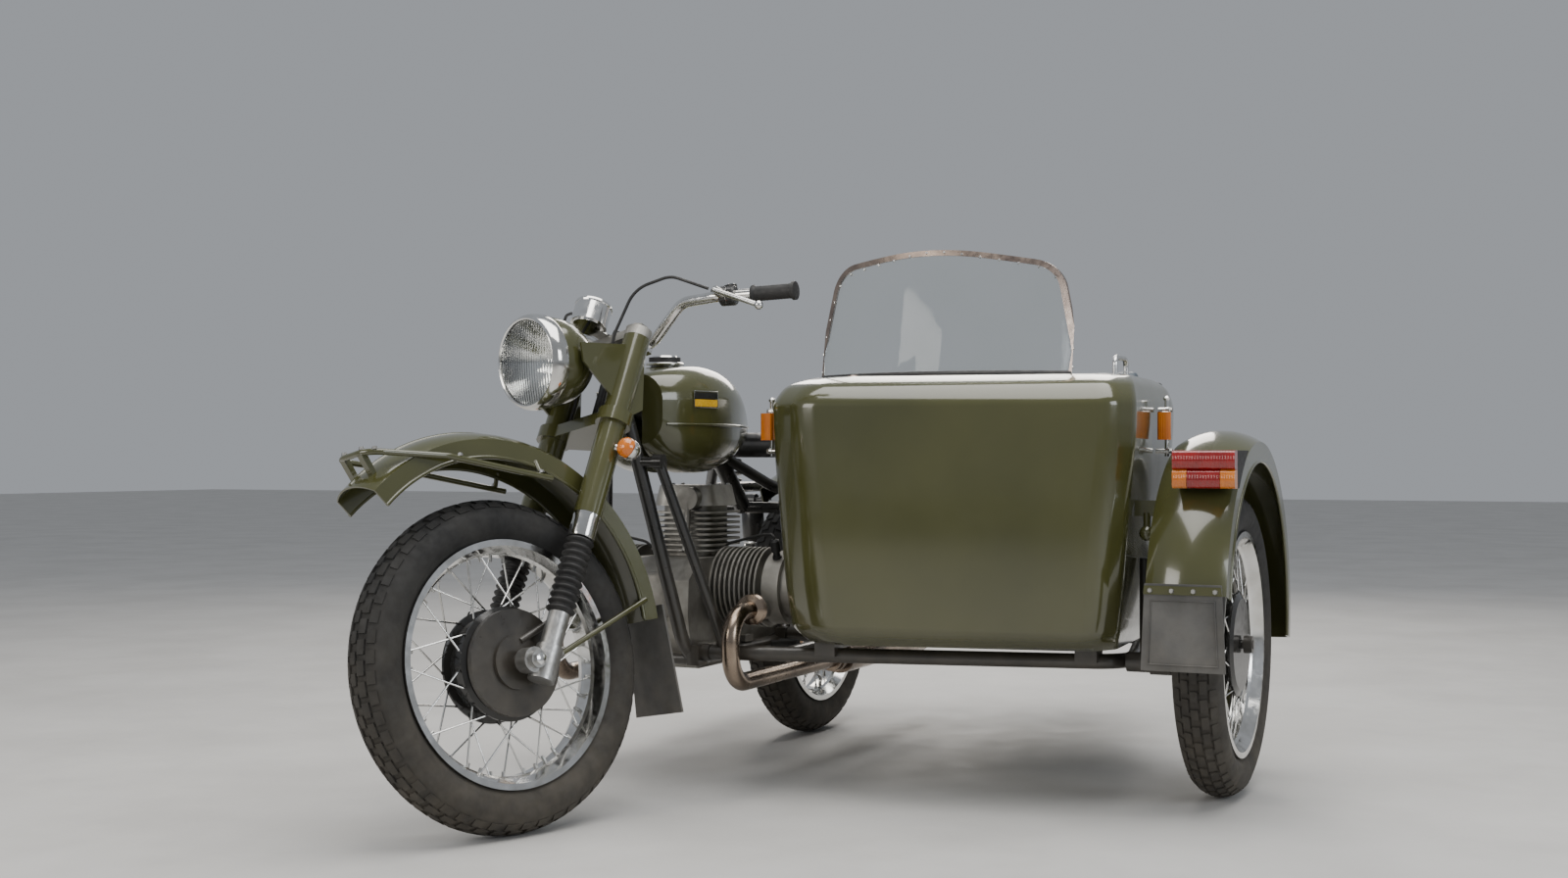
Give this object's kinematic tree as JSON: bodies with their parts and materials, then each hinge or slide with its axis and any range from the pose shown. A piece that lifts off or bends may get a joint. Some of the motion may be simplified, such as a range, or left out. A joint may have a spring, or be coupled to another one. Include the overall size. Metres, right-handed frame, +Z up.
{
  "type": "sidecar motorcycle",
  "caption": "Motorcycle with level and upright finned cylinders, wire wheels and a passenger sidecar with windscreen, boot lid and trailing-arm wheel on its left.",
  "frame": {"origin": "on the floor under the middle of the whole outfit's box", "axes": "+X forward, +Y to the outfit's left where the sidecar is, +Z up"},
  "size_m": [2.4238, 1.7224, 1.2488],
  "materials": {
    "green_paint": "gloss",
    "black_paint": "gloss",
    "chrome": "polished",
    "heat_chrome": "heat-browned polish",
    "steel": "satin",
    "aluminium": "cast satin",
    "tyre": "matt",
    "black_rubber": "matt",
    "black_leather": "grained",
    "blue_leather": "grained",
    "amber_lens": "clear amber",
    "red_lens": "clear red",
    "clear_glass": "clear"
  },
  "bodies": {
    "chassis": {"carburettors": "aluminium", "crankcase": "aluminium", "damper_bellows": "black_rubber", "footrests": "black_rubber", "frame": "black_paint", "grab_handle": "chrome", "left_cylinder": "aluminium", "left_exhaust": "heat_chrome", "pillion_saddle": "black_leather", "rear_dampers": "black_paint", "rear_lamp": "red_lens", "rear_mudguard": "green_paint", "rider_saddle": "black_leather", "right_cylinder": "aluminium", "right_exhaust": "heat_chrome", "sidecar_backrest": "blue_leather", "sidecar_body": "green_paint", "sidecar_chassis": "black_paint", "sidecar_lamps": "amber_lens", "sidecar_mudflap": "black_rubber", "sidecar_mudguard": "green_paint", "sidecar_seat": "blue_leather", "swing_arm": "black_paint", "tank": "green_paint", "tank_cap": "chrome", "upright_cylinder": "aluminium", "wheel_knuckle": "black_paint", "windscreen_frame": "steel", "windscreen_glass": "clear_glass"},
    "front_end": {"fork_upper": "green_paint", "fork_crown": "aluminium", "fork_legs": "aluminium", "fork_gaiters": "black_rubber", "brake_plate": "black_paint", "front_mudguard": "green_paint", "front_mudflap": "black_rubber", "headlamp": "green_paint", "headlamp_lens": "clear_glass", "instrument": "chrome", "handlebar": "chrome", "grips": "black_rubber", "front_indicators": "amber_lens", "control_cables": "black_rubber"},
    "front_wheel_body": {"front_tyre": "tyre", "front_wheel": "chrome"},
    "rear_wheel_body": {"rear_tyre": "tyre", "rear_wheel": "chrome"},
    "sidecar_wheel_body": {"sidecar_tyre": "tyre", "sidecar_wheel": "chrome"},
    "boot_lid_body": {"boot_lid": "green_paint"}
  },
  "joints": [
    {"name": "steering", "type": "hinge", "parent": "chassis", "child": "front_end", "pos_m": [0.81506, -0.4868, 0.30369], "axis": [-0.4772, 0, 0.8788], "range_deg": [-14, 58]},
    {"name": "front_wheel_spin", "type": "hinge", "parent": "front_end", "child": "front_wheel_body", "pos_m": [0.88269, -0.51789, 0.34041], "axis": [0.3292, 0.9272, 0.1787], "continuous": true},
    {"name": "rear_wheel_spin", "type": "hinge", "parent": "chassis", "child": "rear_wheel_body", "pos_m": [-0.615, -0.4868, 0.345], "axis": [0, 1, 0], "continuous": true},
    {"name": "sidecar_wheel_spin", "type": "hinge", "parent": "chassis", "child": "sidecar_wheel_body", "pos_m": [-0.139, 0.7632, 0.345], "axis": [0, 1, 0], "continuous": true},
    {"name": "boot_lid_hinge", "type": "hinge", "parent": "chassis", "child": "boot_lid_body", "pos_m": [-0.71582, 0.1782, 0.93646], "axis": [0, 1, 0], "range_deg": [0, 70]}
  ]
}
